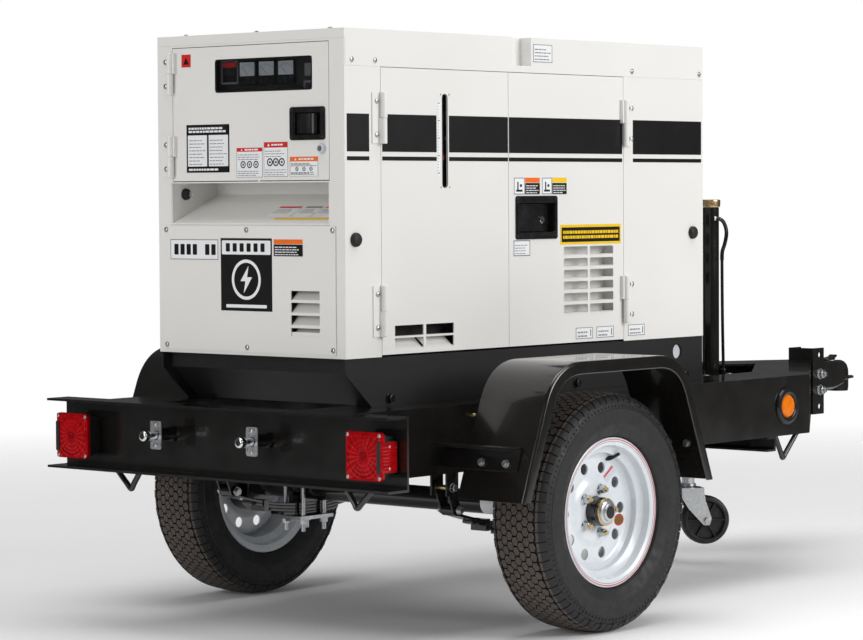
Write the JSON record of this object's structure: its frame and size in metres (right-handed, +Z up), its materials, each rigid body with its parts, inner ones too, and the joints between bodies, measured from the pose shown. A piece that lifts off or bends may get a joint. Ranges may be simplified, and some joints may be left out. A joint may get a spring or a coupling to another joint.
{
  "type": "towable diesel generator",
  "caption": "Sound-proof diesel generator set in a white box on a black single-axle road trailer with ball coupler, caster jack, fenders and lamps.",
  "frame": {"origin": "on the ground under the middle of the whole machine's box", "axes": "+X forwards to the hitch, +Y to the left, +Z up"},
  "size_m": [2.903, 1.424, 1.496],
  "materials": {
    "amber_lens": "clear amber lens in a black grommet",
    "brass": "yellow passivated",
    "caster_rubber": "satin black",
    "chrome": "polished",
    "enclosure_white": "satin warm white powder coat",
    "frame_black": "gloss black paint",
    "latch_black": "satin black",
    "machine_grey": "satin grey enamel",
    "panel_black": "matt black",
    "red_lens": "clear red lens over a black housing",
    "rim_white": "gloss white paint",
    "textured_black": "textured black paint",
    "tyre_rubber": "moulded tread and sidewall",
    "window_glass": "clear acrylic",
    "zinc": "zinc plated"
  },
  "bodies": {
    "trailer": {"alternator": "machine_grey", "axle": "frame_black", "base_skid": "textured_black", "control_panel": "panel_black", "coupler": "frame_black", "engine": "machine_grey", "fender_bracket_front_left": "frame_black", "fender_bracket_front_right": "frame_black", "fender_bracket_rear_left": "frame_black", "fender_bracket_rear_right": "frame_black", "fender_left": "frame_black", "fender_right": "frame_black", "front_shell": "enclosure_white", "fuel_tank": "panel_black", "hitch_channel": "frame_black", "jack_cap": "brass", "jack_mast": "frame_black", "jack_mount": "frame_black", "leaf_spring_left": "frame_black", "leaf_spring_right": "frame_black", "lower_crossmember": "frame_black", "marker_light_left": "amber_lens", "marker_light_right": "amber_lens", "muffler": "machine_grey", "output_recess": "enclosure_white", "radiator": "textured_black", "rear_crossmember": "frame_black", "rear_lower_panel": "enclosure_white", "rear_shell": "enclosure_white", "roof": "enclosure_white", "side_rail_left": "frame_black", "side_rail_right": "frame_black", "spring_clamp_left": "zinc", "spring_clamp_right": "zinc", "tail_light_left": "red_lens", "tail_light_right": "red_lens", "tongue_arm_left": "frame_black", "tongue_arm_right": "frame_black"},
    "wheel_right": {"rim_right": "rim_white", "tyre_right": "tyre_rubber", "hub_right": "frame_black"},
    "wheel_left": {"rim_left": "rim_white", "tyre_left": "tyre_rubber", "hub_left": "frame_black"},
    "door_rear_right": {"side_door_rear_right": "enclosure_white"},
    "door_rear_left": {"side_door_rear_left": "enclosure_white"},
    "door_front_right": {"side_door_front_right": "enclosure_white"},
    "door_front_left": {"side_door_front_left": "enclosure_white"},
    "paddle_right": {"side_latch_right": "latch_black"},
    "paddle_left": {"side_latch_left": "latch_black"},
    "control_cover": {"control_door": "enclosure_white", "control_window": "window_glass"},
    "control_paddle": {"control_latch": "latch_black"},
    "coupler_lever": {"coupler_latch": "frame_black"},
    "jack_pull": {"jack_handle": "frame_black"},
    "jack_tube": {"jack_leg": "zinc"},
    "caster_swivel": {"caster_fork": "zinc"},
    "caster_roller": {"caster_wheel": "caster_rubber"},
    "pin_right": {"plunger_right": "chrome"},
    "pin_left": {"plunger_left": "chrome"}
  },
  "joints": [
    {"name": "wheel_right_spin", "type": "hinge", "parent": "trailer", "child": "wheel_right", "pos_m": [-0.6615, -0.595, 0.30055], "axis": [0, 1, 0], "continuous": true},
    {"name": "wheel_left_spin", "type": "hinge", "parent": "trailer", "child": "wheel_left", "pos_m": [-0.6615, 0.595, 0.30055], "axis": [0, 1, 0], "continuous": true},
    {"name": "door_rear_right_open", "type": "hinge", "parent": "trailer", "child": "door_rear_right", "pos_m": [-1.131, -0.331, 1.05], "axis": [0, 0, -1], "range_deg": [0, 115]},
    {"name": "door_front_right_open", "type": "hinge", "parent": "trailer", "child": "door_front_right", "pos_m": [-0.1578, -0.331, 1.05], "axis": [0, 0, 1], "range_deg": [0, 115]},
    {"name": "paddle_right_pull", "type": "hinge", "parent": "door_front_right", "child": "paddle_right", "pos_m": [-0.5945, -0.31, 1.032], "axis": [0, 0, -1], "range_deg": [0, 45], "stiffness_Nm_per_rad": 0.5, "springref_deg": -11.46},
    {"name": "door_rear_left_open", "type": "hinge", "parent": "trailer", "child": "door_rear_left", "pos_m": [-1.131, 0.331, 1.05], "axis": [0, 0, 1], "range_deg": [0, 115]},
    {"name": "door_front_left_open", "type": "hinge", "parent": "trailer", "child": "door_front_left", "pos_m": [-0.1578, 0.331, 1.05], "axis": [0, 0, -1], "range_deg": [0, 115]},
    {"name": "paddle_left_pull", "type": "hinge", "parent": "door_front_left", "child": "paddle_left", "pos_m": [-0.5945, 0.31, 1.032], "axis": [0, 0, 1], "range_deg": [0, 45], "stiffness_Nm_per_rad": 0.5, "springref_deg": -11.46},
    {"name": "control_cover_open", "type": "hinge", "parent": "trailer", "child": "control_cover", "pos_m": [-1.2715, 0.2668, 1.297], "axis": [0, 0, -1], "range_deg": [0, 115]},
    {"name": "control_paddle_pull", "type": "hinge", "parent": "control_cover", "child": "control_paddle", "pos_m": [-1.2505, -0.163, 1.268], "axis": [0, 0, -1], "range_deg": [0, 45], "stiffness_Nm_per_rad": 0.3, "springref_deg": -11.46},
    {"name": "coupler_lever_lift", "type": "hinge", "parent": "trailer", "child": "coupler_lever", "pos_m": [1.2835, 0, 0.562], "axis": [0, -1, 0], "range_deg": [0, 60], "stiffness_Nm_per_rad": 1, "springref_deg": -17.19},
    {"name": "jack_pull_lift", "type": "slide", "parent": "trailer", "child": "jack_pull", "axis": [0, 0, 1], "range_m": [0, 0.015], "stiffness_N_per_m": 400, "springref_m": -0.02},
    {"name": "jack_leg_extend", "type": "slide", "parent": "trailer", "child": "jack_tube", "axis": [0, 0, -1], "range_m": [0, 0.2]},
    {"name": "caster_swivel_turn", "type": "hinge", "parent": "jack_tube", "child": "caster_swivel", "pos_m": [0.5735, 0, 0.23], "axis": [0, 0, 1], "continuous": true},
    {"name": "caster_roll", "type": "hinge", "parent": "caster_swivel", "child": "caster_roller", "pos_m": [0.61163, -0.03234, 0.132], "axis": [0.6468, 0.7627, 0], "continuous": true},
    {"name": "pin_right_press", "type": "slide", "parent": "trailer", "child": "pin_right", "axis": [1, 0, 0], "range_m": [0, 0.012], "stiffness_N_per_m": 600, "springref_m": -0.01},
    {"name": "pin_left_press", "type": "slide", "parent": "trailer", "child": "pin_left", "axis": [1, 0, 0], "range_m": [0, 0.012], "stiffness_N_per_m": 600, "springref_m": -0.01}
  ]
}
